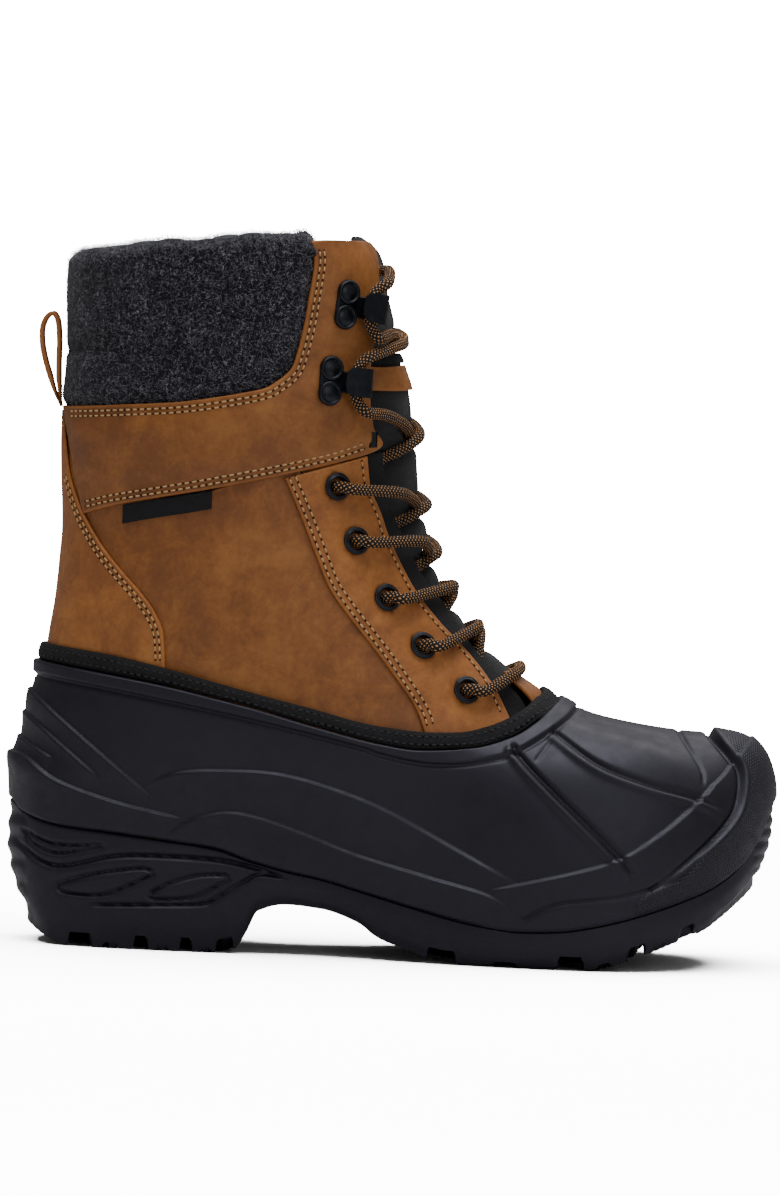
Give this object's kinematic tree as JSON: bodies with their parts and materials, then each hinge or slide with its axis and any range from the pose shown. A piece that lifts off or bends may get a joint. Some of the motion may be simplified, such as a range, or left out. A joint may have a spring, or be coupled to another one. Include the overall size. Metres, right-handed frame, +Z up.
{
  "type": "insulated hunting boot",
  "caption": "Right lace-up cold-weather boot: moulded rubber lower and lugged sole, tan leather shaft, wool collar, eyelets, lace hooks, tongue and rear pull loop.",
  "frame": {"origin": "centre of the boot's box on the ground plane under the sole", "axes": "+X points to the toe, +Z up, +Y to the medial side of this right boot"},
  "size_m": [0.3143, 0.1109, 0.2932],
  "materials": {
    "black_rubber": "satin black moulded rubber",
    "black_webbing": "black woven ribbon",
    "tan_leather": "waxed pull-up leather, mottled tan",
    "black_metal": "black painted metal",
    "charcoal_wool": "charcoal melange wool",
    "grey_felt": "grey insulating felt",
    "black_mesh": "black woven nylon",
    "footbed_foam": "soft foam footbed",
    "fibre_board": "pressed fibre board",
    "lace_braid": "round braid, black with tan flecks",
    "lace_tip": "smooth black tip"
  },
  "bodies": {
    "boot": {"outsole": "black_rubber", "rubber_shell": "black_rubber", "shell_binding": "black_webbing", "heel_counter": "tan_leather", "quarter_lateral": "tan_leather", "eyestay_lateral": "tan_leather", "edge_strip_lateral": "black_webbing", "cuff_lateral": "tan_leather", "eyelet_lateral_1": "black_metal", "eyelet_lateral_2": "black_metal", "eyelet_lateral_3": "black_metal", "eyelet_lateral_4": "black_metal", "eyelet_lateral_5": "black_metal", "lace_hook_lateral_lower": "black_metal", "rivet_lateral_lower_upper": "black_metal", "rivet_lateral_lower_lower": "black_metal", "lace_hook_lateral_upper": "black_metal", "rivet_lateral_upper_upper": "black_metal", "rivet_lateral_upper_lower": "black_metal", "quarter_medial": "tan_leather", "eyestay_medial": "tan_leather", "edge_strip_medial": "black_webbing", "cuff_medial": "tan_leather", "eyelet_medial_1": "black_metal", "eyelet_medial_2": "black_metal", "eyelet_medial_3": "black_metal", "eyelet_medial_4": "black_metal", "eyelet_medial_5": "black_metal", "lace_hook_medial_lower": "black_metal", "rivet_medial_lower_upper": "black_metal", "rivet_medial_lower_lower": "black_metal", "lace_hook_medial_upper": "black_metal", "rivet_medial_upper_upper": "black_metal", "rivet_medial_upper_lower": "black_metal", "wool_collar": "charcoal_wool", "shaft_lining": "grey_felt", "foot_lining": "grey_felt", "throat_tab": "tan_leather", "side_label": "black_webbing", "insole_board": "fibre_board", "lace": "lace_braid", "aglet_a": "lace_tip", "aglet_b": "lace_tip"},
    "tongue": {"tongue": "black_mesh", "tongue_patch": "tan_leather", "tongue_tape": "black_webbing"},
    "pull_loop": {"pull_loop": "tan_leather"},
    "footbed": {"footbed": "footbed_foam"}
  },
  "joints": [
    {"name": "tongue_flex", "type": "hinge", "parent": "boot", "child": "tongue", "pos_m": [0.05, 0, 0.102], "axis": [0, 1, 0], "range_deg": [-2.5, 0]},
    {"name": "pull_loop_flex", "type": "hinge", "parent": "boot", "child": "pull_loop", "pos_m": [-0.1424, 0, 0.22], "axis": [0, 1, 0], "range_deg": [-60, 0]},
    {"name": "footbed_lift", "type": "slide", "parent": "boot", "child": "footbed", "axis": [0, 0, 1], "range_m": [0, 0.01]}
  ]
}
